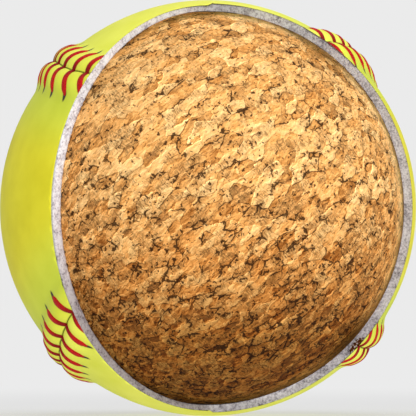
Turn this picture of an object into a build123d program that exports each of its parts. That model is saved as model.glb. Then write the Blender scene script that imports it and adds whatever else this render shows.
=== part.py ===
"""A 12-inch fast-pitch softball, opened to show how it is made, in millimetres.

The origin is the ball's centre, +Z is up and -Y looks out of the display window. A cork ball is
wound with yarn, coated with latex cement and covered by two figure-eight panels of yellow leather,
whose edges are raised in rolls and laced together by two waxed threads. The window is cut through
the cover, the cement and the winding, and leaves the cork whole.
"""

import os
from math import acos, atan2, cos, degrees, hypot, pi, radians, sin, sqrt

from build123d import *
from build123d.topology import SkipClean

# Ball and its layers
BALL_DIAMETER = 97.0
COVER_THICKNESS = 0.85
COVER_CLEARANCE = 0.05
CEMENT_THICKNESS = 0.1
WINDING_THICKNESS = 1.6

# Course of the seam: a circle round the end of each lobe, joined by great circles
LOBE_END_DEG = 24.0
LOBE_RADIUS_DEG = 37.8
SEAM_TURN_DEG = (-11.1, -1.3, -13.8)

# Raised roll on each side of the seam; the leather's cut edge lies EDGE_DEG round it from the toe
ROLL_HEIGHT = 2.4
ROLL_RADIUS = 2.6
EDGE_DEG = 144.0
TOE_FILLET = 3.0

# Lacing
STITCH_PITCH = 5.59
STITCH_START = 4.66
STITCH_LEAN = 2.0
THREAD_WIDTH = 0.9
THREAD_THICKNESS = 0.4
THREAD_CLEARANCE = 0.1
THREAD_GAP = 0.6
NEEDLE_RISE = 0.28
NEEDLE_SLIT = 1.5

# Display window, as the strips of ball left outside it in a view along +Y
WINDOW_RIGHT_STRIP = 0.75
WINDOW_TOP_STRIP = 1.43
WINDOW_LEFT_STRIP = 12.4
WINDING_CUT_DEG = 42.4
WINDOW_MARGIN = 0.4

BALL_RADIUS = BALL_DIAMETER / 2
CEMENT_RADIUS = BALL_RADIUS - COVER_THICKNESS - COVER_CLEARANCE
WINDING_RADIUS = CEMENT_RADIUS - CEMENT_THICKNESS
CORE_RADIUS = WINDING_RADIUS - WINDING_THICKNESS
CENTRE = Vector(0, 0, 0)
BALL_TURN = Plane(Location((0, 0, 0), SEAM_TURN_DEG))

# Room that the thread needs between two rolls, beside its neighbour and in its hole
SEAM_GAP = THREAD_THICKNESS + 2 * THREAD_CLEARANCE
THREAD_SPACING = THREAD_WIDTH + THREAD_GAP
NEEDLE_HOLE = hypot(THREAD_WIDTH, THREAD_THICKNESS) + 2 * THREAD_CLEARANCE

# Section of a roll, in u from the seam and w above the ball
EDGE_ANGLE = radians(EDGE_DEG)
ROLL_FROM_SEAM = SEAM_GAP / 2 - ROLL_RADIUS * cos(EDGE_ANGLE)
ROLL_CENTRE_W = ROLL_HEIGHT - ROLL_RADIUS
FILLET_CENTRE_U = ROLL_FROM_SEAM + sqrt(
    (ROLL_RADIUS + TOE_FILLET) ** 2 - (TOE_FILLET - ROLL_CENTRE_W) ** 2
)
JOIN_ANGLE = atan2(TOE_FILLET - ROLL_CENTRE_W, FILLET_CENTRE_U - ROLL_FROM_SEAM)


class SeamArc:
    """One circular stretch of the seam; the front panel is on the side of its axis."""

    def __init__(self, start, end, axis, spread):
        if start.cross(end).dot(axis) < 0:
            axis, spread = -axis, pi - spread
        self.axis = axis
        self.spread = spread
        self.outward = (start - axis * start.dot(axis)).normalized()
        self.sideways = axis.cross(self.outward)
        self.turn = atan2(end.dot(self.sideways), end.dot(self.outward))
        self.length = BALL_RADIUS * sin(spread) * self.turn

    def point(self, along, u, w):
        """Where the arc is at a length along it, u towards the front panel and w above the ball."""
        across = self.spread - u / BALL_RADIUS
        round_by = along / (BALL_RADIUS * sin(self.spread))
        ray = self.outward * cos(round_by) + self.sideways * sin(round_by)
        return (self.axis * cos(across) + ray * sin(across)) * (BALL_RADIUS + w)

    def revolve_axis(self):
        return Axis(CENTRE, self.axis)


def tangent_pole(crossing, lobe):
    """Pole of the great circle through a crossing that touches a lobe's end circle."""
    towards = (lobe - crossing * lobe.dot(crossing)).normalized()
    beside = crossing.cross(towards)
    swing = acos(sin(radians(LOBE_RADIUS_DEG)) / lobe.dot(towards))
    poles = [-(towards * cos(turn) + beside * sin(turn)) for turn in (swing, -swing)]
    return min(poles, key=lambda pole: abs(pole.Y))


def foot(pole, lobe):
    """Point of a great circle nearest to a lobe's centre."""
    return (lobe - pole * lobe.dot(pole)).normalized()


def seam_arcs():
    """The closed seam, from the right lobe's end over the top, left and bottom lobes."""
    drop = radians(LOBE_END_DEG)
    spread = radians(LOBE_RADIUS_DEG)
    lobes = [
        Vector(cos(drop), sin(drop), 0),
        Vector(0, -sin(drop), cos(drop)),
        Vector(-cos(drop), sin(drop), 0),
        Vector(0, -sin(drop), -cos(drop)),
    ]
    corners = [(1, 1), (-1, 1), (-1, -1), (1, -1)]
    crossings = [Vector(x, 0, z).normalized() for x, z in corners]
    poles = [tangent_pole(crossings[i], lobes[i]) for i in range(4)]

    def turned(v):
        return BALL_TURN.x_dir * v.X + BALL_TURN.y_dir * v.Y + BALL_TURN.z_dir * v.Z

    arcs = []
    for i in range(4):
        after = (i + 1) % 4
        arrive = foot(poles[i - 1], lobes[i])
        leave = foot(poles[i], lobes[i])
        reach = foot(poles[i], lobes[after])
        arcs.append(SeamArc(turned(arrive), turned(leave), turned(lobes[i]), spread))
        arcs.append(SeamArc(turned(leave), turned(reach), turned(poles[i]), pi / 2))
    return arcs


ARCS = seam_arcs()
SEAM_LENGTH = sum(arc.length for arc in ARCS)


def seam_point(s, u, w):
    """Point at length s round the seam, u towards the front panel and w above the ball."""
    along = s % SEAM_LENGTH
    for arc in ARCS:
        if along <= arc.length:
            return arc.point(along, u, w)
        along -= arc.length
    return ARCS[0].point(0, u, w)


def roll_point(angle, lift):
    """Point of the roll's crown, lifted off the leather."""
    reach = ROLL_RADIUS + lift
    return (
        ROLL_FROM_SEAM + reach * cos(angle),
        ROLL_CENTRE_W + reach * sin(angle),
    )


def fillet_point(angle, lift):
    """Point of the hollow at the roll's toe, lifted off the leather."""
    reach = TOE_FILLET - lift
    return FILLET_CENTRE_U - reach * cos(angle), TOE_FILLET - reach * sin(angle)


def panel_section(arc, side, field_end):
    """Section of one panel at the start of an arc: its plain field and the raised edge, of even
    thickness, from the distance field_end to the seam."""

    def at(flat):
        return arc.point(0, side * flat[0], flat[1])

    def bend(first, middle, last):
        return ThreePointArc(at(first), at(middle), at(last))

    def skin(lift):
        start, toe = (field_end, lift), (FILLET_CENTRE_U, lift)
        between = ((field_end + FILLET_CENTRE_U) / 2, lift)
        join = roll_point(JOIN_ANGLE, lift)
        hollow = fillet_point((pi / 2 + JOIN_ANGLE) / 2, lift)
        crown = roll_point((JOIN_ANGLE + EDGE_ANGLE) / 2, lift)
        edge = roll_point(EDGE_ANGLE, lift)
        return [bend(start, between, toe), bend(toe, hollow, join), bend(join, crown, edge)]

    outer, inner = skin(0), skin(-COVER_THICKNESS)
    ends = [
        Line(outer[-1] @ 1, inner[-1] @ 1),
        Line(outer[0] @ 0, inner[0] @ 0),
    ]
    return make_face(Wire(outer + inner + ends)).face()


def panel_sector(arc, side):
    """The part of a panel that lies beside one arc of the seam, up to the panel's centre line."""
    past_centre = radians(60)
    to_pole = arc.spread if side > 0 else pi - arc.spread
    if to_pole < past_centre:
        section = panel_section(arc, side, to_pole * BALL_RADIUS)
        return Solid.revolve(section, degrees(arc.turn), arc.revolve_axis())
    section = panel_section(arc, side, past_centre * BALL_RADIUS)
    sector = Solid.revolve(section, degrees(arc.turn), arc.revolve_axis())
    across = BALL_TURN.z_dir if side > 0 else BALL_TURN.x_dir
    if across.dot(arc.point(arc.length / 2, 0, 0)) < 0:
        across = -across
    return sector.split(Plane(CENTRE, z_dir=across), keep=Keep.TOP)


def sphere_shell(outer, inner):
    return Sphere(outer) - Sphere(inner)


def cover_panel(side):
    """A whole figure-eight panel, front (1) or back (-1)."""
    sectors = [panel_sector(arc, side) for arc in ARCS]
    with SkipClean():
        return sectors[0].fuse(*sectors[1:])


def window_outline():
    """The window seen along +Y: a half circle on the right and a narrower half ellipse."""
    half = Rectangle(2 * BALL_RADIUS, 4 * BALL_RADIUS)
    right = Circle(BALL_RADIUS - WINDOW_RIGHT_STRIP) & Pos(BALL_RADIUS, 0) * half
    left = Ellipse(BALL_RADIUS - WINDOW_LEFT_STRIP, BALL_RADIUS - WINDOW_TOP_STRIP)
    return right + (left & Pos(-BALL_RADIUS, 0) * half)


def cover_window():
    return extrude(Plane.XZ * window_outline(), amount=2 * BALL_RADIUS)


def winding_window():
    """Wedge cut from the winding, from the left cut face through the front to the right one."""
    reach = 3 * BALL_RADIUS
    cut = radians(WINDING_CUT_DEG)
    corners = [(0, 0), (-reach * cos(cut), -reach * sin(cut)), (0, -reach), (reach, -reach), (reach, 0)]
    return Pos(0, 0, -BALL_RADIUS) * extrude(make_face(Polyline(*corners, close=True)), 2 * BALL_RADIUS)


def in_window(point):
    """Whether a point of the cover is cut away, or lies too near the window's edge."""
    across = BALL_RADIUS - WINDOW_RIGHT_STRIP + WINDOW_MARGIN
    up = across
    if point.X < 0:
        across = BALL_RADIUS - WINDOW_LEFT_STRIP + WINDOW_MARGIN
        up = BALL_RADIUS - WINDOW_TOP_STRIP + WINDOW_MARGIN
    return point.Y < 0 and hypot(point.X / across, point.Z / up) < 1


def needle_hole_u():
    """Distance from the seam at which the needle comes out of the roll's toe."""
    return FILLET_CENTRE_U - sqrt(TOE_FILLET**2 - (TOE_FILLET - NEEDLE_RISE) ** 2)


def kept_stitches():
    """Places along the seam of the stitches that the window leaves, as a run on each side."""
    runs = {"left": [], "right": []}
    bottom = -ARCS[7].length - ARCS[6].length / 2
    count = int(SEAM_LENGTH / STITCH_PITCH)
    reach = needle_hole_u() + THREAD_THICKNESS
    for k in range(count):
        s = bottom + (STITCH_START - bottom) % STITCH_PITCH + k * STITCH_PITCH
        span = (s - STITCH_LEAN - THREAD_WIDTH, s + THREAD_SPACING)
        foot_points = [seam_point(a, u, 0) for a in span for u in (-reach, 0, reach)]
        if not any(in_window(point) for point in foot_points):
            runs["left" if seam_point(s, 0, 0).X < 0 else "right"].append(s)
    return runs


def needle_hole(s, side):
    """Slanting hole through the toe of the roll, which runs out in a slit in the leather."""
    inside = seam_point(s, side * ROLL_FROM_SEAM, NEEDLE_RISE)
    outside = seam_point(s, side * (needle_hole_u() + NEEDLE_SLIT), NEEDLE_RISE)
    length = (outside - inside).length
    hole = Cylinder(NEEDLE_HOLE / 2, length, align=(Align.CENTER, Align.CENTER, Align.MIN))
    return Plane(inside, z_dir=outside - inside) * hole


def stitch_route(s, side, offset):
    """Route of one stitch in s, u and w: out of its hole, over the roll and down the seam's gap."""
    lift = THREAD_CLEARANCE + THREAD_THICKNESS / 2
    exit_u = needle_hole_u()
    in_hole = [(ROLL_FROM_SEAM + THREAD_WIDTH, NEEDLE_RISE), (exit_u + lift, NEEDLE_RISE)]
    turn_back = [
        (exit_u + 2 * lift, NEEDLE_RISE + lift),
        (exit_u + lift, NEEDLE_RISE + 2 * lift),
    ]
    chords = 3
    step = (EDGE_ANGLE - JOIN_ANGLE) / chords
    crown_lift = (ROLL_RADIUS + lift) / cos(step / 2) - ROLL_RADIUS
    crown = [roll_point(JOIN_ANGLE + step * (k + 0.5), crown_lift) for k in range(chords)]
    edge = roll_point(EDGE_ANGLE, lift)
    down = [edge, (-THREAD_CLEARANCE / 2, edge[1] - 2 * lift), (-ROLL_FROM_SEAM / 3, 0)]
    hole = s - STITCH_LEAN
    route = [(hole, side * u, w) for u, w in in_hole + turn_back]
    for u, w in crown + down:
        share = min(1 - u / exit_u, 1)
        route.append((hole + share * (STITCH_LEAN + offset), side * u, w))
    return route


def ribbon_corners(route):
    """The four corners of a flat thread's section at each point of its route."""
    points = [seam_point(*place) for place in route]
    rows = []
    for i, (s, u, w) in enumerate(route):
        ahead = points[min(i + 1, len(points) - 1)] - points[max(i - 1, 0)]
        ahead = ahead.normalized()
        seam_way = seam_point(s + 1, u, w) - seam_point(s - 1, u, w)
        across = (seam_way - ahead * seam_way.dot(ahead)).normalized() * (THREAD_WIDTH / 2)
        up = ahead.cross(across).normalized() * (THREAD_THICKNESS / 2)
        rows.append([points[i] + way for way in (across + up, up - across, -across - up, across - up)])
    return rows


def thread(stitches, first_side):
    """One waxed thread, flat in section, laced from side to side along a run of stitches."""
    route = []
    for k, s in enumerate(stitches):
        side = first_side * (-1) ** k
        route += stitch_route(s, side, first_side * THREAD_SPACING / 2)
    rows = ribbon_corners(route)
    faces = [Face(Wire.make_polygon(rows[end])) for end in (0, -1)]
    for row, after in zip(rows, rows[1:]):
        for k in range(4):
            near = Edge.make_line(row[k - 1], row[k])
            far = Edge.make_line(after[k - 1], after[k])
            faces.append(Face.make_surface_from_curves(near, far))
    return Solid(Shell(faces))


def cover_and_lacing():
    """The cover's three remaining pieces and its four threads."""
    runs = kept_stitches()
    window = cover_window()
    nodes = {}
    panels = {}
    for side in (1, -1):
        holes = [needle_hole(s - STITCH_LEAN, side) for run in runs.values() for s in run]
        with SkipClean():
            panels[side] = cover_panel(side).cut(window.solid(), *(hole.solid() for hole in holes))
    lobes = sorted(panels[1].solids(), key=lambda lobe: lobe.center().X)
    nodes["front_panel_left_lobe"] = lobes[0]
    nodes["front_panel_right_lobe"] = lobes[-1]
    nodes["back_panel"] = panels[-1].solid()
    for name, run in runs.items():
        nodes[f"{name}_seam_thread_a"] = thread(run, 1)
        nodes[f"{name}_seam_thread_b"] = thread(run, -1)
    return nodes


def ball():
    window = winding_window()
    nodes = {
        "cork_core": Sphere(CORE_RADIUS),
        "yarn_winding": sphere_shell(WINDING_RADIUS, CORE_RADIUS) - window,
        "latex_cement_coat": sphere_shell(CEMENT_RADIUS, WINDING_RADIUS) - window,
    }
    return nodes | cover_and_lacing()


os.makedirs("parts", exist_ok=True)
for node_name, shape in ball().items():
    shape.label = node_name
    export_step(shape, f"parts/{node_name}.step")
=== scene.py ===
import math

import bmesh
import bpy
from mathutils import Matrix, Vector, noise


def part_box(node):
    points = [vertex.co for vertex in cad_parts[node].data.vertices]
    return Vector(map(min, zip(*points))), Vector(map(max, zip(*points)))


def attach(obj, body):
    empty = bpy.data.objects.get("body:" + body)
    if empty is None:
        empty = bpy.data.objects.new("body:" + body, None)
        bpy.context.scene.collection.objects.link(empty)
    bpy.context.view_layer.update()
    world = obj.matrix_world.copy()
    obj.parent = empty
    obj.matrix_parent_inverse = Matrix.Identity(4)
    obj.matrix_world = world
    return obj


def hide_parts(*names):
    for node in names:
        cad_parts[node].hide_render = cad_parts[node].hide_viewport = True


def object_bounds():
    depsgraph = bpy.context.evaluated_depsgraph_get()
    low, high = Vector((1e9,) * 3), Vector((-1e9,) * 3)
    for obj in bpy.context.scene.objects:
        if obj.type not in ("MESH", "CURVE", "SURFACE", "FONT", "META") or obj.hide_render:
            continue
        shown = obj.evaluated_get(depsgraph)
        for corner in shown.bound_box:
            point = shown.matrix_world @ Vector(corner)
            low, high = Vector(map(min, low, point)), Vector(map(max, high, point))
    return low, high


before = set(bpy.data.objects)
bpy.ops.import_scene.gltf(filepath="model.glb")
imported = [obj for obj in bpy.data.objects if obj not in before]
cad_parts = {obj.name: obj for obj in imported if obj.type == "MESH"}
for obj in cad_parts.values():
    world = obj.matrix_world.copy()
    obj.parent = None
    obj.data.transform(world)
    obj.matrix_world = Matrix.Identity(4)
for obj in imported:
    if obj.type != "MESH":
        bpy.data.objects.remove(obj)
cad_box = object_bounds()


# Cork core: a ball moulded from granules of cork bark and a little binder, then sanded to size.
# Sanding cuts the granules open, so each shows its own tone, and the binder leaves pits between.
# Everything else is wound, brushed or laced round it, and its centre is the origin.
MM = 0.001
CORE_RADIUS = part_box("cork_core")[1].z
GRANULE_MM = (4.5, 3.2, 2.4)
CRUMB_MM = (1.7, 1.3, 1.15)
FIBRE_MM = (2.4, 1.0, 0.8)
PORE_MM = (0.3, 1.0, 1.5)
PATCH_MM = (5.0, 3.5, 2.6)
WAVE_MM = 2.2
RAGGED_MM = 1.5
FLECK_MM = 0.8
RIM_LIGHT_BAND = (-14 * MM, -7 * MM)
GRAIN_TILT = math.radians(42)
LIT_SIDE_MM = (-0.16, 0.0, 0.2)
RELIEF = 0.4 * MM
FACE_CUTS = 123


def linear(code):
    """An sRGB hex colour as linear RGBA."""
    values = [int(code[i : i + 2], 16) / 255 for i in (1, 3, 5)]
    return (*(v / 12.92 if v <= 0.04045 else ((v + 0.055) / 1.055) ** 2.4 for v in values), 1)


def connect(tree, node, inputs):
    """Sets a node's inputs, each to a value, to a socket or to another node's output."""
    for key, value in inputs.items():
        if isinstance(value, bpy.types.Node):
            value = next(socket for socket in value.outputs if socket.enabled)
        if isinstance(value, bpy.types.NodeSocket):
            tree.links.new(value, node.inputs[key])
        else:
            node.inputs[key].default_value = value


def add(tree, kind, inputs, **settings):
    """Adds a node with its settings and inputs; a ramp's stops begin with its first and last."""
    node = tree.nodes.new(kind)
    for name, value in settings.items():
        if name == "stops":
            for i, (place, code) in enumerate(value):
                stop = node.color_ramp.elements[i] if i < 2 else node.color_ramp.elements.new(place)
                stop.position = place
                stop.color = linear(code)
        else:
            setattr(node, name, value)
    connect(tree, node, inputs)
    return node


def new_material(name):
    """A material with a Principled surface, its tree and that shader."""
    material = bpy.data.materials.new(name)
    material.use_nodes = True
    return material, material.node_tree, material.node_tree.nodes["Principled BSDF"]


def new_piece(name, shape, materials):
    """An object that rides on the ball and whose mesh is a finished bmesh."""
    mesh = bpy.data.meshes.new(name)
    shape.to_mesh(mesh)
    shape.free()
    piece = bpy.data.objects.new(name, mesh)
    bpy.context.collection.objects.link(piece)
    for material in materials:
        mesh.materials.append(material)
    for face in mesh.polygons:
        face.use_smooth = True
    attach(piece, "root")
    return piece


def apply_modifiers(piece):
    """Replaces a piece's mesh by the one that its modifiers make."""
    bpy.context.view_layer.update()
    evaluated = piece.evaluated_get(bpy.context.evaluated_depsgraph_get())
    mesh = bpy.data.meshes.new_from_object(evaluated)
    piece.modifiers.clear()
    piece.data = mesh


def cork_grain(tree, place):
    """Tone, relief shading, dark cracks, pores, rough patches and height of the pressed granules."""
    on_ball = add(tree, "ShaderNodeVectorMath", {0: place}, operation="NORMALIZE")
    up = add(tree, "ShaderNodeSeparateXYZ", {0: on_ball}).outputs["Z"]
    low = add(tree, "ShaderNodeMapRange", {"Value": up, "From Min": 0.35, "From Max": -0.6})
    crumbly = add(tree, "ShaderNodeMapRange", {"Value": low, "To Min": 0.25, "To Max": 0.5})
    # The height is found twice, once a little to the lit side, and the difference is the shading.
    heights = []
    for shift in (LIT_SIDE_MM, (0, 0, 0)):
        sized = {0: on_ball, 1: (CORE_RADIUS / MM,) * 3, 2: shift}
        ball = add(tree, "ShaderNodeVectorMath", sized, operation="MULTIPLY_ADD")
        wavy = {"Vector": ball, "Scale": 1 / WAVE_MM, "Detail": 4.0, "Roughness": 0.65}
        wave = add(tree, "ShaderNodeTexNoise", wavy).outputs["Color"]
        bent = {0: wave, 1: (RAGGED_MM,) * 3, 2: ball}
        ragged = add(tree, "ShaderNodeVectorMath", bent, operation="MULTIPLY_ADD")
        tilted = {"Vector": ragged, "Angle": GRAIN_TILT}
        turned = add(tree, "ShaderNodeVectorRotate", tilted, rotation_type="Y_AXIS")
        tones = []
        for size in (GRANULE_MM, CRUMB_MM):
            cell = add(tree, "ShaderNodeVectorMath", {0: turned, 1: size}, operation="DIVIDE")
            own = add(tree, "ShaderNodeTexVoronoi", {"Vector": cell, "Scale": 1.0}).outputs["Color"]
            tones.append(add(tree, "ShaderNodeSeparateXYZ", {0: own}))
        granules = add(tree, "ShaderNodeMix", {0: crumbly, 2: tones[0], 3: tones[1]})
        fibre = add(tree, "ShaderNodeVectorMath", {0: turned, 1: FIBRE_MM}, operation="DIVIDE")
        soft = {"Vector": fibre, "Scale": 1.0, "Detail": 5.0, "Roughness": 0.6}
        fibre = add(tree, "ShaderNodeTexNoise", soft)
        both = {0: fibre, 1: 1.3, 2: granules}
        heights.append(add(tree, "ShaderNodeMath", both, operation="MULTIPLY_ADD"))
    shade = add(tree, "ShaderNodeMath", {0: heights[1], 1: heights[0]}, operation="SUBTRACT")
    # From hollows to tops the tone goes from dark to pale, with less contrast low on the ball.
    darkest = add(tree, "ShaderNodeMapRange", {"Value": low, "To Min": 0.51, "To Max": 0.82})
    palest = add(tree, "ShaderNodeMapRange", {"Value": low, "To Min": 1.71, "To Max": 1.51})
    tone = {"Value": heights[1], "From Min": darkest, "From Max": palest}
    tone = add(tree, "ShaderNodeMapRange", tone)
    # In rough patches the granules part in cracks, and small flecks have fallen out.
    patches = add(tree, "ShaderNodeVectorMath", {0: turned, 1: PATCH_MM}, operation="DIVIDE")
    cluster = add(tree, "ShaderNodeTexNoise", {"Vector": patches, "Scale": 1.3, "Detail": 3.0})
    cluster = add(tree, "ShaderNodeMath", {0: low, 1: 0.05, 2: cluster}, operation="MULTIPLY_ADD")
    rough = add(tree, "ShaderNodeMapRange", {"Value": cluster, "From Min": 0.5, "From Max": 0.66})
    granule = add(tree, "ShaderNodeVectorMath", {0: turned, 1: GRANULE_MM}, operation="DIVIDE")
    border = {"Vector": granule, "Scale": 1.0}
    border = add(tree, "ShaderNodeTexVoronoi", border, feature="DISTANCE_TO_EDGE")
    wide = add(tree, "ShaderNodeMath", {0: rough, 1: 0.06}, operation="MULTIPLY")
    crack = add(tree, "ShaderNodeMath", {0: wide, 1: border}, operation="SUBTRACT")
    crack = add(tree, "ShaderNodeMapRange", {"Value": crack, "From Min": -0.01, "From Max": 0.02})
    fleck = add(tree, "ShaderNodeTexNoise", {"Vector": ragged, "Scale": 1 / FLECK_MM, "Detail": 2.0})
    fleck = add(tree, "ShaderNodeMath", {0: rough, 1: 0.1, 2: fleck}, operation="MULTIPLY_ADD")
    fleck = add(tree, "ShaderNodeMapRange", {"Value": fleck, "From Min": 0.645, "From Max": 0.68})
    dark = add(tree, "ShaderNodeMath", {0: crack, 1: fleck}, operation="MAXIMUM")
    # In other patches the sanding has opened the bark's pores, which show as short streaks.
    porous = add(tree, "ShaderNodeTexNoise", {"Vector": patches, "Scale": 0.9, "Detail": 2.0})
    porous = add(tree, "ShaderNodeMath", {0: low, 1: 0.06, 2: porous}, operation="MULTIPLY_ADD")
    porous = add(tree, "ShaderNodeMapRange", {"Value": porous, "From Min": 0.47, "From Max": 0.62})
    pores = add(tree, "ShaderNodeVectorMath", {0: turned, 1: PORE_MM}, operation="DIVIDE")
    pores = add(tree, "ShaderNodeTexNoise", {"Vector": pores, "Scale": 1.0, "Detail": 1.0})
    pores = add(tree, "ShaderNodeMapRange", {"Value": pores, "From Min": 0.45, "From Max": 0.65})
    pores = add(tree, "ShaderNodeMath", {0: pores, 1: porous}, operation="MULTIPLY")
    height = add(tree, "ShaderNodeMath", {0: dark, 1: -0.8, 2: heights[1]}, operation="MULTIPLY_ADD")
    grain = {"tone": tone, "shade": shade, "dark": dark, "height": height}
    return {**grain, "rough": rough, "porous": porous, "pores": pores}


# Sanded cork: matte, with no gloss at all, pale where a granule is cut through its middle, brown in
# the hollows and nearly black in the pits. Its granules carry painted relief shading, painted shade darkens
# it towards the foot, and painted light makes it paler along the right edge of the window.
cork, tree, shader = new_material("sanded_cork")
where = add(tree, "ShaderNodeTexCoord", {}).outputs["Object"]
grain = cork_grain(tree, where)
sides = add(tree, "ShaderNodeSeparateXYZ", {0: where}).outputs
# Painted light: a band along the right edge of the window is made paler, in tone here and in colour below.
rim = {"Value": sides["Y"], "From Min": RIM_LIGHT_BAND[0], "From Max": RIM_LIGHT_BAND[1]}
rim = add(tree, "ShaderNodeMapRange", rim)
right = add(tree, "ShaderNodeMapRange", {"Value": sides["X"], "From Min": 0.0, "From Max": 10 * MM})
painted_rim_light = add(tree, "ShaderNodeMath", {0: rim, 1: right}, operation="MULTIPLY")
tone = add(tree, "ShaderNodeMath", {0: painted_rim_light, 1: 0.5, 2: grain["tone"]}, operation="MULTIPLY_ADD")
tans = [(0.0, "#8F541E"), (1.0, "#FFD08C"), (0.2, "#C28240"), (0.42, "#E6A45A"), (0.64, "#F6B970")]
colour = add(tree, "ShaderNodeValToRGB", {0: tone}, stops=tans)
for shares, most, code in (
    (grain["porous"], 0.3, "#B89462"),
    (grain["pores"], 0.75, "#7A5A30"),
    (grain["rough"], 0.4, "#94602A"),
):
    share = add(tree, "ShaderNodeMath", {0: shares, 1: most}, operation="MULTIPLY")
    colour = add(tree, "ShaderNodeMix", {0: share, 6: colour, 7: linear(code)}, data_type="RGBA")
# Painted relief shading: the colour is lightened or darkened by how the height changes towards the lit
# side.
lit = add(tree, "ShaderNodeMath", {0: grain["shade"], 1: 1.2, 2: 1.02}, operation="MULTIPLY_ADD")
lit = add(tree, "ShaderNodeMath", {0: lit, 1: 0.35}, operation="MAXIMUM")
colour = add(tree, "ShaderNodeMix", {0: 1.0, 6: colour, 7: lit}, data_type="RGBA", blend_type="MULTIPLY")
# Dark cracks and flecks, then the painted light of the band along the window's right edge.
for shares, most, code in ((grain["dark"], 0.9, "#2E1808"), (painted_rim_light, 0.4, "#FFD294")):
    share = add(tree, "ShaderNodeMath", {0: shares, 1: most}, operation="MULTIPLY")
    colour = add(tree, "ShaderNodeMix", {0: share, 6: colour, 7: linear(code)}, data_type="RGBA")
# Painted shade: the colour is darkened towards the foot of the core.
foot = {"Value": sides["Z"], "From Min": 0.1 * CORE_RADIUS, "From Max": -0.9 * CORE_RADIUS}
painted_low_shade = add(tree, "ShaderNodeMapRange", foot)
low_shade_stops = [(0.0, "#FFFFFF"), (1.0, "#9A845C"), (0.4, "#EADCC8"), (0.75, "#B09A74")]
low_shade_colour = add(tree, "ShaderNodeValToRGB", {0: painted_low_shade}, stops=low_shade_stops)
colour = add(tree, "ShaderNodeMix", {0: 1.0, 6: colour, 7: low_shade_colour}, data_type="RGBA", blend_type="MULTIPLY")
bump = add(tree, "ShaderNodeBump", {"Height": grain["height"], "Strength": 0.35, "Distance": 0.3 * MM})
connect(tree, shader, {"Base Color": colour, "Normal": bump, "Roughness": 0.9, "Specular IOR Level": 0.1})

bm = bmesh.new()
bmesh.ops.create_cube(bm, size=2)
bmesh.ops.subdivide_edges(bm, edges=bm.edges[:], cuts=FACE_CUTS, use_grid_fill=True)
for v in bm.verts:
    even = Vector(math.tan(c * math.pi / 4) for c in v.co)
    v.co = even.normalized() * CORE_RADIUS
core = new_piece("cork_ball", bm, [cork])
relief = bpy.data.node_groups.new("cork_relief", "GeometryNodeTree")
for way in ("INPUT", "OUTPUT"):
    relief.interface.new_socket("Geometry", in_out=way, socket_type="NodeSocketGeometry")
ball = add(relief, "NodeGroupInput", {})
place = add(relief, "GeometryNodeInputPosition", {})
height = cork_grain(relief, place)["height"]
depth = {"Value": height, "From Min": 0.0, "From Max": 1.75, "To Min": -RELIEF, "To Max": 0.0}
depth = add(relief, "ShaderNodeMapRange", depth)
radial = add(relief, "ShaderNodeVectorMath", {0: place}, operation="NORMALIZE")
offset = add(relief, "ShaderNodeVectorMath", {0: radial, "Scale": depth}, operation="SCALE")
sanded = add(relief, "GeometryNodeSetPosition", {"Geometry": ball, "Offset": offset})
add(relief, "NodeGroupOutput", {0: sanded})
core.modifiers.new("relief", "NODES").node_group = relief
apply_modifiers(core)
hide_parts("cork_core")


# Yarn winding: many crossing layers of cotton and polyester yarn wound tight on the cork.
# The window is cut through it on two faces that meet in the ball's upright axis. The cut ends are
# ragged and swell, on the left up to the leather's edge and on the right forward beside the cork.
WINDING_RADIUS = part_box("yarn_winding")[1].z
LEFT_CUT = math.radians(42.4)
LEFT_SWELL = 48.4 * MM
RIGHT_SWELL = 47.75 * MM
BULGE = 5.5 * MM
BULGE_RISE = 15 * MM
FIBRE_END = 0.55 * MM
STRAND = 2.2 * MM
FRAY = 0.16 * MM
FRAY_GRAIN = 0.8 * MM
PIT_PLACE = Vector((34.6, -5.5, -31.9)) * MM
PIT_SLOPE = math.radians(47)
PIT_SIZE = Vector((2.4, 3.0, 0.9)) * MM
PIT_DEPTH = 1.2 * MM
FACE_ROWS = 320
FACE_COLUMNS = 8
BACK_STEPS = 72
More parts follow.
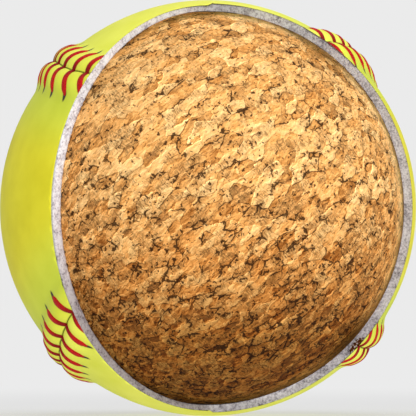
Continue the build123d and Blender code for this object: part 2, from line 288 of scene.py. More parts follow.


# Cut yarn: a dull grey-white felt of fibre ends, mottled where grey and white strands lie side
# by side, made white by painted light on the left and at the top, the white greyed lower down by painted
# shade, with brown fibres in one small torn pit.
def yarn_ends(tree):
    """Colour, with painted light and shade, and height of the cut yarn."""
    where = add(tree, "ShaderNodeTexCoord", {}).outputs["Object"]
    fine = {"Vector": where, "Scale": 1 / FIBRE_END, "Detail": 3.0, "Roughness": 0.7}
    ends = add(tree, "ShaderNodeTexNoise", fine)
    lumps = add(tree, "ShaderNodeTexNoise", {"Vector": where, "Scale": 1 / STRAND, "Detail": 3.0})
    felt = add(tree, "ShaderNodeMath", {0: ends, 1: 1.4, 2: lumps}, operation="MULTIPLY_ADD")
    felt = add(tree, "ShaderNodeMath", {0: felt, 1: 1 / 2.4}, operation="MULTIPLY")
    greys = [(0.36, "#756F74"), (0.62, "#ECE7EB"), (0.44, "#AFA8AE"), (0.5, "#CBC4CA")]
    whites = [(0.34, "#8C868C"), (0.56, "#FFFFFF"), (0.42, "#CFCACE"), (0.5, "#EFECEC")]
    grey = add(tree, "ShaderNodeValToRGB", {0: felt}, stops=greys)
    white = add(tree, "ShaderNodeValToRGB", {0: felt}, stops=whites)
    sides = add(tree, "ShaderNodeSeparateXYZ", {0: where}).outputs
    # Painted shade: the white is greyed lower down and stays bright higher up.
    rise = {"Value": sides["Z"], "From Min": -44 * MM, "From Max": 16 * MM}
    rise = add(tree, "ShaderNodeMapRange", rise)
    yarn_shade_stops = [(0.0, "#BAB2AF"), (1.0, "#E6E6E9"), (0.2, "#A8A09F"), (0.4, "#BAB3B4"), (0.72, "#E0DDDF")]
    painted_yarn_shade = add(tree, "ShaderNodeValToRGB", {0: rise}, stops=yarn_shade_stops)
    white = add(tree, "ShaderNodeMix", {0: 1.0, 6: white, 7: painted_yarn_shade}, data_type="RGBA", blend_type="MULTIPLY")
    # Painted light: the left face and the top are made white; elsewhere the yarn stays grey.
    left = add(tree, "ShaderNodeMapRange", {"Value": sides["X"], "From Min": 2 * MM, "From Max": -1 * MM})
    top = {"Value": sides["Z"], "From Min": 30 * MM, "From Max": 42 * MM, "To Max": 0.8}
    top = add(tree, "ShaderNodeMapRange", top)
    painted_light_side = add(tree, "ShaderNodeMath", {0: left, 1: top}, operation="MAXIMUM")
    colour = add(tree, "ShaderNodeMix", {0: painted_light_side, 6: grey, 7: white}, data_type="RGBA")
    off_pit = add(tree, "ShaderNodeVectorMath", {0: where, 1: PIT_PLACE}, operation="SUBTRACT")
    sloped = {"Vector": off_pit, "Angle": PIT_SLOPE}
    off_pit = add(tree, "ShaderNodeVectorRotate", sloped, rotation_type="Y_AXIS")
    off_pit = add(tree, "ShaderNodeVectorMath", {0: off_pit, 1: PIT_SIZE}, operation="DIVIDE")
    off_pit = add(tree, "ShaderNodeVectorMath", {0: off_pit}, operation="LENGTH")
    torn = add(tree, "ShaderNodeMath", {0: ends, 1: 1.2, 2: off_pit}, operation="MULTIPLY_ADD")
    in_pit = add(tree, "ShaderNodeMapRange", {"Value": torn, "From Min": 1.65, "From Max": 1.5})
    browns = [(0.4, "#1E120C"), (0.62, "#F6F2EE"), (0.46, "#5E3016"), (0.57, "#7A431F")]
    brown = add(tree, "ShaderNodeValToRGB", {0: ends}, stops=browns)
    return add(tree, "ShaderNodeMix", {0: in_pit, 6: colour, 7: brown}, data_type="RGBA"), felt


yarn, tree, shader = new_material("cut_yarn")
colour, felt = yarn_ends(tree)
bump = add(tree, "ShaderNodeBump", {"Height": felt, "Strength": 0.5, "Distance": 0.2 * MM})
connect(tree, shader, {"Base Color": colour, "Normal": bump, "Roughness": 0.9, "Specular IOR Level": 0.1})

bm = bmesh.new()
turn_back = math.pi + LEFT_CUT
step = (WINDING_RADIUS - CORE_RADIUS) / FACE_COLUMNS
for azimuth in (0, turn_back):
    before = set(bm.verts)
    row = [bm.verts.new((0, 0, CORE_RADIUS + step * i)) for i in range(FACE_COLUMNS + 1)]
    chain = [bm.edges.new(pair) for pair in zip(row, row[1:])]
    bmesh.ops.spin(bm, geom=row + chain, axis=(0, 1, 0), angle=math.pi, steps=FACE_ROWS)
    face_verts = [v for v in bm.verts if v not in before]
    bmesh.ops.rotate(bm, verts=face_verts, matrix=Matrix.Rotation(azimuth, 3, "Z"))
rims = [e for e in bm.edges if e.is_boundary]
rims = [e for e in rims if all(abs(v.co.y) < 1e-7 and v.co.x > -1e-7 for v in e.verts)]
rim_verts = list(dict.fromkeys(v for e in rims for v in e.verts))
walls = bmesh.ops.duplicate(bm, geom=rims + rim_verts)["geom"]
bmesh.ops.spin(bm, geom=walls, axis=(0, 0, 1), angle=turn_back, steps=BACK_STEPS)
bmesh.ops.remove_doubles(bm, verts=bm.verts, dist=1e-6)
bmesh.ops.recalc_face_normals(bm, faces=bm.faces)
left_facing = Vector((math.sin(LEFT_CUT), -math.cos(LEFT_CUT), 0))
right_facing = Vector((0, -1, 0))
for v in bm.verts:
    on_left = abs(v.co.dot(left_facing)) < 1e-6 and v.co.x < -1e-5
    on_right = abs(v.co.y) < 1e-6 and v.co.x > 1e-5
    if on_left or on_right:
        fray = noise.fractal(v.co / FRAY_GRAIN, 1.0, 2.0, 3) * FRAY
        off_pit = Matrix.Rotation(PIT_SLOPE, 3, "Y") @ (v.co - Vector((PIT_PLACE.x, 0, PIT_PLACE.z)))
        off_pit = Vector(a / b for a, b in zip(off_pit, PIT_SIZE))
        dent = max(0.0, 1 - off_pit.length) * PIT_DEPTH
        outer = (v.co.length - CORE_RADIUS) / (WINDING_RADIUS - CORE_RADIUS)
        rise = min(1.0, v.co.x / BULGE_RISE)
        bulge = rise * rise * (3 - 2 * rise) * BULGE if on_right else 0
        inner_radius = math.sqrt(CORE_RADIUS ** 2 - bulge ** 2)
        swell = LEFT_SWELL if on_left else RIGHT_SWELL
        v.co *= (inner_radius + outer * (swell - inner_radius)) / v.co.length
        v.co += (left_facing if on_left else right_facing) * (bulge + fray - dent)
winding = new_piece("wound_yarn", bm, [yarn])
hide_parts("yarn_winding")


# Latex cement: a thin coat brushed over the yarn, which holds the cover and dries to a film.
# It is the solid made in CAD, clear enough to show the yarn under it, with a soft sheen.
cement, tree, shader = new_material("dried_latex_cement")
colour, felt = yarn_ends(tree)
bump = add(tree, "ShaderNodeBump", {"Height": felt, "Strength": 0.3, "Distance": 0.1 * MM})
connect(tree, shader, {"Base Color": colour, "Normal": bump, "Roughness": 0.6})
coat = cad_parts["latex_cement_coat"]
coat.data.materials.clear()
coat.data.materials.append(cement)


# Cover: two figure-eight panels of leather, stretched wet over the cement with their edges turned
# in and raised in a roll along the seam. The lacing pinches the rolls, so the leather puffs up
# between the stitches. The window leaves the back panel and two lobes of the front panel.
BALL_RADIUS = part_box("back_panel")[1].z
COVER_THICKNESS = 0.85 * MM
LOBE_END = math.radians(24.0)
LOBE_SPREAD = math.radians(37.8)
SEAM_TURN = Matrix.Rotation(math.radians(-11.1), 3, "X") @ Matrix.Rotation(math.radians(-1.3), 3, "Y")
SEAM_TURN = SEAM_TURN @ Matrix.Rotation(math.radians(-13.8), 3, "Z")
SEAM_EDGE = 0.012 * MM
TURNED_IN = -0.1 * MM
ROLL_HEIGHT = 1.85 * MM
ROLL_CREST = 2.4 * MM
ROLL_DIP = 0.95 * MM
ROLL_WIDTH = 8.6 * MM
PUFF = 0.55 * MM
PUFF_LEVEL = 0.62
PUFF_FADE = 4.2 * MM
END_FADE = 4 * MM
STITCH_PITCH = 5.59 * MM
STITCH_START = 4.66 * MM
STITCH_LEAN = 2.3 * MM
LEAN_CURVE = 1.5
STITCH_REACH = 6.1 * MM
SLIT_LENGTH = 2.0 * MM
SLIT_LAP_MM = 0.8
SLIT_FADE_MM = 0.8
SLIT_WIDE_MM = 0.74
SLIT_TIP_MM = 0.2
WINDOW_RIGHT_STRIP = 0.75 * MM
WINDOW_TOP_STRIP = 1.43 * MM
WINDOW_LEFT_STRIP = 12.4 * MM
WINDOW_TAPER = 0.951
WINDOW_SEGMENTS = 240
STEP_ALONG = 0.5 * MM
HIDE_MOTTLE = 7 * MM
HIDE_GRAIN = 0.5 * MM


class SeamArc:
    """One circular stretch of the seam; the front panel is on the side of its axis."""

    def __init__(self, start, end, axis, spread):
        if start.cross(end).dot(axis) < 0:
            axis, spread = -axis, math.pi - spread
        self.axis = axis
        self.spread = spread
        self.outward = (start - axis * start.dot(axis)).normalized()
        self.sideways = axis.cross(self.outward)
        self.turn = math.atan2(end.dot(self.sideways), end.dot(self.outward))
        self.length = BALL_RADIUS * math.sin(spread) * self.turn

    def point(self, along, u, w):
        """Place at a length along the arc, u towards the front panel and w above the ball."""
        across = self.spread - u / BALL_RADIUS
        round_by = along / (BALL_RADIUS * math.sin(self.spread))
        ray = self.outward * math.cos(round_by) + self.sideways * math.sin(round_by)
        return (self.axis * math.cos(across) + ray * math.sin(across)) * (BALL_RADIUS + w)

    def place(self, co):
        """Length along the arc, u and w of a point."""
        across = math.acos(max(-1, min(1, co.normalized().dot(self.axis))))
        round_by = math.atan2(co.dot(self.sideways), co.dot(self.outward))
        along = round_by * BALL_RADIUS * math.sin(self.spread)
        return along, (self.spread - across) * BALL_RADIUS, co.length - BALL_RADIUS


def seam_arcs():
    """The closed seam: an arc round each lobe's end, joined by great circles that touch them."""
    cosine, sine = math.cos(LOBE_END), math.sin(LOBE_END)
    ends = ((cosine, sine, 0), (0, -sine, cosine), (-cosine, sine, 0), (0, -sine, -cosine))
    lobes = [Vector(c) for c in ends]
    crossings = [Vector((x, 0, z)).normalized() for x, z in ((1, 1), (-1, 1), (-1, -1), (1, -1))]
    poles = []
    for crossing, lobe in zip(crossings, lobes):
        towards = (lobe - crossing * lobe.dot(crossing)).normalized()
        beside = crossing.cross(towards)
        swing = math.acos(math.sin(LOBE_SPREAD) / lobe.dot(towards))
        either = [-(towards * math.cos(a) + beside * math.sin(a)) for a in (swing, -swing)]
        poles.append(min(either, key=lambda pole: abs(pole.y)))
    arcs = []
    for i in range(4):
        after = (i + 1) % 4
        arrive = (lobes[i] - poles[i - 1] * lobes[i].dot(poles[i - 1])).normalized()
        leave = (lobes[i] - poles[i] * lobes[i].dot(poles[i])).normalized()
        reach = (lobes[after] - poles[i] * lobes[after].dot(poles[i])).normalized()
        start, middle, end = SEAM_TURN @ arrive, SEAM_TURN @ leave, SEAM_TURN @ reach
        arcs.append(SeamArc(start, middle, SEAM_TURN @ lobes[i], LOBE_SPREAD))
        arcs.append(SeamArc(middle, end, SEAM_TURN @ poles[i], math.pi / 2))
    return arcs


ARCS = seam_arcs()
SEAM_LENGTH = sum(arc.length for arc in ARCS)
for k, arc in enumerate(ARCS):
    arc.start = sum(earlier.length for earlier in ARCS[:k])
ARCS[-1].start -= SEAM_LENGTH
SEAM_ENDS = (ARCS[-1].start, ARCS[-1].start + SEAM_LENGTH)


def spread_over(first, last, count):
    """Evenly spaced values from the first to the last, in a number of steps."""
    return [first + (last - first) * i / count for i in range(count + 1)]


def roll(u):
    """Height of a roll above the ball at a distance from the seam."""
    u = abs(u)
    if u < ROLL_CREST:
        return ROLL_HEIGHT - ROLL_DIP * (1 - u / ROLL_CREST) ** 2
    fall = min(1.0, (u - ROLL_CREST) / (ROLL_WIDTH - ROLL_CREST))
    return ROLL_HEIGHT * (1 + math.cos(math.pi * fall)) / 2


def stitch_lean(u):
    """How far a stitch has leant along the seam at a distance from it."""
    return STITCH_LEAN * min(1.0, abs(u) / STITCH_REACH) ** LEAN_CURVE


def pinch(s, u):
    """The leather's rise or fall between and under the stitches, a little different each time."""
    turn = (s + stitch_lean(u) - STITCH_START) / STITCH_PITCH
    uneven = 1 + 0.4 * noise.noise(Vector((math.floor(turn) * 1.37, math.copysign(3.1, u), 0)))
    between = uneven * abs(math.sin(math.pi * turn)) ** 0.75
    fade = max(0.0, min(1.0, (ROLL_WIDTH - abs(u)) / PUFF_FADE))
    to_end = max(0.0, min(1.0, (s - SEAM_ENDS[0]) / END_FADE, (SEAM_ENDS[1] - s) / END_FADE))
    return PUFF * to_end * fade * fade * (3 - 2 * fade) * (between - PUFF_LEVEL)


def panel_profile(field_end):
    """Section of a panel in u and w: the inner side, round the turned-in edge, then the outer side."""
    field_step = (LOBE_SPREAD * BALL_RADIUS - ROLL_WIDTH) / 11
    field = [ROLL_WIDTH + field_step * i for i in range(1, 24)]
    field = [u for u in field if u < field_end + 1e-6]
    outer = [(u, roll(u)) for u in spread_over(SEAM_EDGE, ROLL_WIDTH, 24)]
    outer += [(u, 0.0) for u in field]
    fold = SEAM_EDGE + COVER_THICKNESS
    edge = [(fold, TURNED_IN), (SEAM_EDGE, TURNED_IN)]
    inner = [(u, roll(u) - COVER_THICKNESS) for u in spread_over(fold, ROLL_WIDTH, 7)]
    inner += [(u, -COVER_THICKNESS) for u in field]
    return inner[::-1] + edge + outer


def cover_panel(side):
    """A whole panel, front (1) or back (-1), with its seam lengths in the UV map, in millimetres."""
    whole = bmesh.new()
    whole.loops.layers.uv.new("Seam")
    for arc in ARCS:
        to_pole = (arc.spread if side > 0 else math.pi - arc.spread) * BALL_RADIUS
        far = math.pi / 3 * BALL_RADIUS
        is_lobe_end = to_pole < far
        part = bmesh.new()
        uv = part.loops.layers.uv.new("Seam")
        line = [part.verts.new(arc.point(0, side * u, w)) for u, w in panel_profile(min(to_pole, far))]
        edges = [part.edges.new(pair) for pair in zip(line, line[1:])]
        steps = round(arc.length / STEP_ALONG / 2) * 2
        bmesh.ops.spin(part, geom=line + edges, axis=arc.axis, angle=arc.turn, steps=steps)
        if not is_lobe_end:
            across = SEAM_TURN @ (Vector((0, 0, 1)) if side > 0 else Vector((1, 0, 0)))
            if across.dot(arc.point(arc.length / 2, 0, 0)) > 0:
                across = -across
            geom = part.verts[:] + part.edges[:] + part.faces[:]
            bmesh.ops.bisect_plane(part, geom=geom, dist=1e-7, plane_no=across, clear_outer=True)
        lengths = {}
        for v in part.verts:
            along, u, w = arc.place(v.co)
            lengths[v] = ((arc.start + along) / MM, u / MM)
            if w > -0.2 * COVER_THICKNESS:
                v.co *= 1 + pinch(arc.start + along, u) / v.co.length
        for face in part.faces:
            for loop in face.loops:
                loop[uv].uv = lengths[loop.vert]
        mesh = bpy.data.meshes.new("sector")
        part.to_mesh(mesh)
        part.free()
        whole.from_mesh(mesh)
        bpy.data.meshes.remove(mesh)
    bmesh.ops.remove_doubles(whole, verts=whole.verts, dist=0.004 * MM)
    bmesh.ops.recalc_face_normals(whole, faces=whole.faces)
    return whole


def window_cutter():
    """The window's outline, half ellipse and half circle, as a prism along the view, tapered at right."""
    prism = bmesh.new()
    bmesh.ops.create_circle(prism, cap_ends=True, radius=1, segments=WINDOW_SEGMENTS)
    for v in prism.verts:
        right = v.co.x > 0
        across = BALL_RADIUS - (WINDOW_RIGHT_STRIP if right else WINDOW_LEFT_STRIP)
        up = BALL_RADIUS - (WINDOW_RIGHT_STRIP if right else WINDOW_TOP_STRIP)
        v.co = Vector((v.co.x * across, 0, v.co.y * up))
    grown = bmesh.ops.extrude_face_region(prism, geom=prism.faces[:])["geom"]
    moved = [g for g in grown if isinstance(g, bmesh.types.BMVert)]
    for v in moved:
        taper = WINDOW_TAPER if v.co.x > 1e-6 else 1
        v.co = Vector((v.co.x * taper, -2 * BALL_RADIUS, v.co.z * taper))
    bmesh.ops.recalc_face_normals(prism, faces=prism.faces)
    return prism


# Dyed leather: a soft, fine-grained surface with a satin finish, optic yellow with a green cast,
# greener where it is stretched over the rolls, with painted shade in the seam, in the slits of the needle,
# beside the stitches and in the hollows outside the rolls.
# The front panel is more golden than the back panel.
leather, tree, shader = new_material("dyed_leather")
where = add(tree, "ShaderNodeTexCoord", {}).outputs["Object"]
seam = add(tree, "ShaderNodeUVMap", {}, uv_map="Seam")
seam = add(tree, "ShaderNodeSeparateXYZ", {0: seam}).outputs
from_seam = add(tree, "ShaderNodeMath", {0: seam["Y"]}, operation="ABSOLUTE")
mottle = add(tree, "ShaderNodeTexNoise", {"Vector": where, "Scale": 1 / HIDE_MOTTLE, "Detail": 4.0})
golden = add(tree, "ShaderNodeValToRGB", {0: mottle}, stops=[(0.3, "#DDD324"), (0.7, "#E9E030")])
lemon = add(tree, "ShaderNodeValToRGB", {0: mottle}, stops=[(0.3, "#E8EA50"), (0.7, "#F1F264")])
greenish = add(tree, "ShaderNodeValToRGB", {0: mottle}, stops=[(0.3, "#D6DF3C"), (0.7, "#E4EC4C")])
on_front = add(tree, "ShaderNodeMapRange", {"Value": seam["Y"], "From Min": 0.0, "From Max": 4.0})
colour = add(tree, "ShaderNodeMix", {0: on_front, 6: lemon, 7: golden}, data_type="RGBA")
to_roll = {"Value": from_seam, "From Min": 23.0, "From Max": 6.0}
on_roll = add(tree, "ShaderNodeMapRange", to_roll, interpolation_type="SMOOTHSTEP")
greener = add(tree, "ShaderNodeMapRange", {"Value": on_front, "To Min": 0.3, "To Max": 1.0})
on_roll = add(tree, "ShaderNodeMath", {0: on_roll, 1: greener}, operation="MULTIPLY")
colour = add(tree, "ShaderNodeMix", {0: on_roll, 6: colour, 7: greenish}, data_type="RGBA")
# How far a point is from the nearest stitch, which leans along the seam as the thread does.
out = {0: from_seam, 1: STITCH_REACH / MM}
out = add(tree, "ShaderNodeMath", out, operation="DIVIDE", use_clamp=True)
leant = add(tree, "ShaderNodeMath", {0: out, 1: LEAN_CURVE}, operation="POWER")
along = {0: leant, 1: STITCH_LEAN / MM, 2: seam["X"]}
along = add(tree, "ShaderNodeMath", along, operation="MULTIPLY_ADD")
along = add(tree, "ShaderNodeMath", {0: along, 1: STITCH_START / MM}, operation="SUBTRACT")
half_pitch = STITCH_PITCH / MM / 2
turn = add(tree, "ShaderNodeMath", {0: along, 1: half_pitch, 2: -half_pitch}, operation="WRAP")
off_stitch = add(tree, "ShaderNodeMath", {0: turn}, operation="ABSOLUTE")
# The needle's slits narrow from the end of each stitch outwards.
slit_from = STITCH_REACH / MM - SLIT_LAP_MM
slit_to = (STITCH_REACH + SLIT_LENGTH) / MM
narrowing = {"Value": from_seam, "From Min": slit_from, "From Max": slit_to}
narrowing |= {"To Min": SLIT_WIDE_MM, "To Max": SLIT_TIP_MM}
slit_width = add(tree, "ShaderNodeMapRange", narrowing)
inside = add(tree, "ShaderNodeMath", {0: slit_width, 1: off_stitch}, operation="SUBTRACT")
slit = add(tree, "ShaderNodeMapRange", {"Value": inside, "From Min": -0.12, "From Max": 0.1})
begun = add(tree, "ShaderNodeMath", {0: from_seam, 1: slit_from}, operation="GREATER_THAN")
slit = add(tree, "ShaderNodeMath", {0: slit, 1: begun}, operation="MULTIPLY")
ending = {"Value": from_seam, "From Min": slit_to, "From Max": slit_to - SLIT_FADE_MM}
ending = add(tree, "ShaderNodeMapRange", ending)
slit = add(tree, "ShaderNodeMath", {0: slit, 1: ending}, operation="MULTIPLY")
# Shade: beside the stitches, in the hollow outside each roll, and deep in the seam.
pulled = add(tree, "ShaderNodeMapRange", {"Value": off_stitch, "From Min": 1.4, "From Max": 0.4})
near = add(tree, "ShaderNodeMapRange", {"Value": from_seam, "From Min": 8.0, "From Max": 5.6})
beside = add(tree, "ShaderNodeMath", {0: pulled, 1: near}, operation="MULTIPLY")
beside = add(tree, "ShaderNodeMath", {0: beside, 1: 0.35}, operation="MULTIPLY")
hollow = {"Value": from_seam, "From Min": 3.5, "From Max": 7.0}
hollow = add(tree, "ShaderNodeMapRange", hollow, interpolation_type="SMOOTHSTEP")
hollow = add(tree, "ShaderNodeMath", {0: hollow, 1: on_roll}, operation="MULTIPLY")
hollow = add(tree, "ShaderNodeMath", {0: hollow, 1: 0.45}, operation="MULTIPLY")
in_seam = add(tree, "ShaderNodeMapRange", {"Value": from_seam, "From Min": 0.26, "From Max": 0.06})
# The slits are painted dark as well, as painted shade in the cuts.
for share, code in ((beside, "#97AC2C"), (hollow, "#B9C840"), (in_seam, "#74801F"), (slit, "#3C3330")):
    colour = add(tree, "ShaderNodeMix", {0: share, 6: colour, 7: linear(code)}, data_type="RGBA")
# Skin: the hide's own grain, fine creases across the rolls, and the slits.
grain = add(tree, "ShaderNodeTexNoise", {"Vector": where, "Scale": 1 / HIDE_GRAIN, "Detail": 3.0})
creases = add(tree, "ShaderNodeCombineXYZ", {"X": along, "Y": from_seam})
creases = add(tree, "ShaderNodeMapping", {"Vector": creases, "Scale": (2.2, 0.25, 1)})
creases = add(tree, "ShaderNodeTexNoise", {"Vector": creases, "Scale": 1.0, "Detail": 2.0})
creases = add(tree, "ShaderNodeMath", {0: creases, 1: near}, operation="MULTIPLY")
skin = add(tree, "ShaderNodeMath", {0: grain, 1: 0.3, 2: creases}, operation="MULTIPLY_ADD")
skin = add(tree, "ShaderNodeMath", {0: slit, 1: -1.5, 2: skin}, operation="MULTIPLY_ADD")
bump = add(tree, "ShaderNodeBump", {"Height": skin, "Strength": 0.5, "Distance": 0.14 * MM})
connect(tree, shader, {"Base Color": colour, "Normal": bump, "Roughness": 0.6, "Specular IOR Level": 0.16})

cutter = new_piece("window_cutter", window_cutter(), [])


def cut_by_window(piece, crosses_itself=False):
    """Takes the window out of a piece of the cover."""
    knife = piece.modifiers.new("window", "BOOLEAN")
    knife.operation = "DIFFERENCE"
    knife.solver = "EXACT"
    knife.use_self = crosses_itself
    knife.object = cutter
    apply_modifiers(piece)


back = new_piece("leather_back_panel", cover_panel(-1), [leather])
cut_by_window(back)
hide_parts("back_panel")
front = new_piece("leather_front", cover_panel(1), [leather])
cut_by_window(front)
for name, way in (("left", -1), ("right", 1)):
    bm = bmesh.new()
    bm.from_mesh(front.data)
    bmesh.ops.delete(bm, geom=[v for v in bm.verts if v.co.x * way < 0], context="VERTS")
    lobe = new_piece(f"leather_{name}_lobe", bm, [leather])
    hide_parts(f"front_panel_{name}_lobe")
bpy.data.objects.remove(front)


# Lacing: two waxed threads, each going over one roll, down the seam, under the other roll and out
# of the next needle hole. The window cuts them, so there are two lengths on each side.
THREAD_WIDTH = 1.95 * MM
THREAD_HEIGHT = 0.86 * MM
RUNS = {"left": (28, 69), "right": (-9, 22)}
THREAD_SIDES = 12
PLY = 0.4 * MM

# Waxed thread: twisted plies with a dull shine, bright red on the rolls, and darkened by painted shade down
# the seam.
thread, tree, shader = new_material("waxed_thread")
where = add(tree, "ShaderNodeTexCoord", {}).outputs["Object"]
lay = add(tree, "ShaderNodeUVMap", {}, uv_map="Lay")
lay = add(tree, "ShaderNodeSeparateXYZ", {0: lay}).outputs
# Painted shade: the thread is darker where it runs down into the seam.
inner = {"Value": lay["Y"], "From Min": 3.4, "From Max": 0.4, "To Max": 0.7}
inner = add(tree, "ShaderNodeMapRange", inner, interpolation_type="SMOOTHSTEP")
ply = add(tree, "ShaderNodeTexNoise", {"Vector": where, "Scale": 1 / PLY, "Detail": 3.0})
red = add(tree, "ShaderNodeValToRGB", {0: ply}, stops=[(0.3, "#980D0E"), (0.7, "#CC1A17")])
colour = add(tree, "ShaderNodeMix", {0: inner, 6: red, 7: linear("#5C0A0C")}, data_type="RGBA")
bump = add(tree, "ShaderNodeBump", {"Height": ply, "Strength": 0.3, "Distance": 0.1 * MM})
connect(tree, shader, {"Base Color": colour, "Normal": bump, "Roughness": 0.55, "Specular IOR Level": 0.12})


def seam_place(s, u, w):
    """Point at length s round the seam, u towards the front panel and w above the ball."""
    s = s % SEAM_LENGTH
    for arc in ARCS:
        start = arc.start % SEAM_LENGTH
        if start <= s <= start + arc.length:
            return arc.point(s - start, u, w)
    return ARCS[0].point(0, u, w)


def stitch(s, side):
    """Stations of one stitch from hole to under-run: length, u, w and the shares of width and height."""
    out = s - STITCH_LEAN
    stations = [(out, 4.2 * MM, -0.4 * MM, 0.4, 0.6), (out, 5.8 * MM, -0.35 * MM, 0.4, 0.6)]
    stations.append((out, STITCH_REACH + 0.25 * MM, 0.1 * MM, 0.4, 0.6))
    for u in spread_over(STITCH_REACH + 0.1 * MM, 0.15 * MM, 14):
        part = min(1.0, u / STITCH_REACH)
        width = 0.62 + 0.38 * math.sin(math.pi / 2 * min(1.0, part / 0.65))
        taper = max(0.0, (part - 0.78) / 0.22)
        lift = (0.22 - 0.45 * taper ** 2) * MM
        w = roll(u) + pinch(s - stitch_lean(u), side * u) + lift
        stations.append((s - stitch_lean(u), u, w, width * (1 - 0.55 * taper ** 1.5), 1.0))
    stations.append((s, -0.05 * MM, 0.6 * MM, 0.5, 0.7))
    stations.append((s + 0.5 * MM, -0.7 * MM, -0.2 * MM, 0.4, 0.6))
    return [(a, side * u, w, wide, thick) for a, u, w, wide, thick in stations]


def lacing(first, last, first_side):
    """One continuous thread through a run of stitches, oval in section, with a UV map of its lay."""
    tube = bmesh.new()
    stations = []
    for k in range(first, last + 1):
        stations += stitch(STITCH_START + k * STITCH_PITCH, first_side * (-1) ** k)
    centres = [seam_place(a, u, w) for a, u, w, wide, thick in stations]
    rings = []
    for i, (a, u, w, wide, thick) in enumerate(stations):
        ahead = (centres[min(i + 1, len(centres) - 1)] - centres[max(i - 1, 0)]).normalized()
        seam_way = seam_place(a + MM, u, w) - seam_place(a - MM, u, w)
        across = (seam_way - ahead * seam_way.dot(ahead)).normalized()
        turn = Matrix((across, ahead.cross(across), ahead)).transposed().to_4x4()
        shape = Matrix.Diagonal((wide * THREAD_WIDTH / 2, thick * THREAD_HEIGHT / 2, 1, 1))
        matrix = Matrix.Translation(centres[i]) @ turn @ shape
        circle = bmesh.ops.create_circle(tube, radius=1, segments=THREAD_SIDES, matrix=matrix)
        rings.append(circle["verts"])
    for near_ring, far_ring in zip(rings, rings[1:]):
        for k in range(THREAD_SIDES):
            tube.faces.new((near_ring[k - 1], near_ring[k], far_ring[k], far_ring[k - 1]))
    tube.faces.new(rings[0])
    tube.faces.new(rings[-1])
    bmesh.ops.recalc_face_normals(tube, faces=tube.faces)
    uv = tube.loops.layers.uv.new("Lay")
    station_of = {v: i for i, ring in enumerate(rings) for v in ring}
    for face in tube.faces:
        for loop in face.loops:
            i = station_of[loop.vert]
            loop[uv].uv = (i, abs(stations[i][1]) / MM)
    return tube


for name, (first, last) in RUNS.items():
    for letter, first_side in (("a", 1), ("b", -1)):
        lace = new_piece(f"thread_{name}_{letter}", lacing(first, last, first_side), [thread])
        cut_by_window(lace, crosses_itself=True)
        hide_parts(f"{name}_seam_thread_{letter}")
bpy.data.objects.remove(cutter)


# Stage: a pale table top, with the same tone behind the ball, a lamp by the camera that reaches
# into the window, one at the right for the cork's far edge, and a soft box overhead. The camera
# looks square into the window from far away.
PALE = "#EBEBEB"
FLOOR_REACH = 0.6
SHADOW_REACH = 0.1
SHADOW_END = 0.4
CAMERA_DISTANCE = 2.4
HALF_PICTURE = 48.5 * MM


def shown_rays(tree):
    """1 for rays that show a surface in the picture, 0 for those that only light the ball."""
    rays = add(tree, "ShaderNodeLightPath", {}).outputs
    mirrored = {0: rays["Is Glossy Ray"], 1: rays["Is Transmission Ray"]}
    mirrored = add(tree, "ShaderNodeMath", mirrored, operation="MAXIMUM")
    return add(tree, "ShaderNodeMath", {0: rays["Is Camera Ray"], 1: mirrored}, operation="MAXIMUM")


bm = bmesh.new()
bmesh.ops.create_circle(bm, cap_ends=True, radius=FLOOR_REACH, segments=96)
bmesh.ops.translate(bm, verts=bm.verts, vec=(0, 0, cad_box[0].z))
floor_mesh = bpy.data.meshes.new("table_top")
bm.to_mesh(floor_mesh)
bm.free()
floor = bpy.data.objects.new("table_top", floor_mesh)
bpy.context.collection.objects.link(floor)

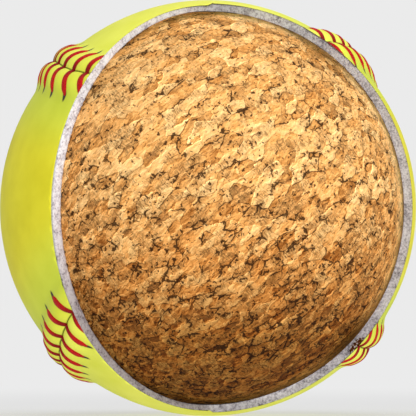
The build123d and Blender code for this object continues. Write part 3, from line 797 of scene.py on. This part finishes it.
# Glowing table: matte and pale, and it glows, so that it lights the ball from below like a lamp. It keeps
# the ball's shadow close by, and further off it goes over to the plain tone of the backdrop, so that no
# edge shows.
table, tree, shader = new_material("glowing_table")
connect(tree, shader, {"Base Color": linear(PALE), "Roughness": 0.9})
glow = add(tree, "ShaderNodeEmission", {"Color": linear(PALE), "Strength": 1.0})
where = add(tree, "ShaderNodeTexCoord", {}).outputs["Object"]
off_ball = add(tree, "ShaderNodeVectorMath", {0: where}, operation="LENGTH")
plain = {"Value": off_ball, "From Min": SHADOW_REACH, "From Max": SHADOW_END, "To Min": 0.6}
plain = add(tree, "ShaderNodeMapRange", plain, interpolation_type="SMOOTHSTEP")
# The glow's share: 0.65 for the light it throws on the ball, and for the camera 0.6 near the ball, rising
# to all glow further off.
glowing = add(tree, "ShaderNodeMix", {0: shown_rays(tree), 2: 0.65, 3: plain})
surface = add(tree, "ShaderNodeMixShader", {0: glowing, 1: shader, 2: glow})
connect(tree, tree.nodes["Material Output"], {0: surface})
floor_mesh.materials.append(table)

world = bpy.data.worlds.new("studio")
bpy.context.scene.world = world
world.use_nodes = True
tree = world.node_tree
tree.nodes.clear()
backdrop = add(tree, "ShaderNodeBackground", {"Color": linear(PALE), "Strength": 1.0})
fill = add(tree, "ShaderNodeBackground", {"Color": linear("#FFFFFF"), "Strength": 0.38})
sky = add(tree, "ShaderNodeMixShader", {0: shown_rays(tree), 1: fill, 2: backdrop})
add(tree, "ShaderNodeOutputWorld", {0: sky})

for name, energy, softness, towards in (
    ("lamp_by_camera", 1.45, 1.5, (0, 1, -0.01)),
    ("lamp_at_right", 1.2, 20, (-0.75, 0.65, -0.05)),
):
    lamp = bpy.data.lights.new(name, "SUN")
    lamp.energy = energy
    lamp.angle = math.radians(softness)
    light = bpy.data.objects.new(name, lamp)
    light.rotation_euler = Vector(towards).to_track_quat("-Z", "Y").to_euler()
    bpy.context.collection.objects.link(light)
lamp = bpy.data.lights.new("overhead_box", "AREA")
lamp.size = 0.5
lamp.energy = 2.0
light = bpy.data.objects.new("overhead_box", lamp)
light.location = (0.0, -0.15, 0.6)
light.rotation_euler = (-light.location).to_track_quat("-Z", "Y").to_euler()
bpy.context.collection.objects.link(light)

eye = bpy.data.cameras.new("window_view")
eye.sensor_width = 36
eye.lens = eye.sensor_width / 2 * CAMERA_DISTANCE / HALF_PICTURE
eye.clip_end = 10
camera = bpy.data.objects.new("window_view", eye)
camera.location = (0, -CAMERA_DISTANCE, 0)
camera.rotation_euler = (math.pi / 2, 0, 0)
bpy.context.collection.objects.link(camera)
bpy.context.scene.camera = camera
bpy.context.scene.view_settings.view_transform = "Standard"
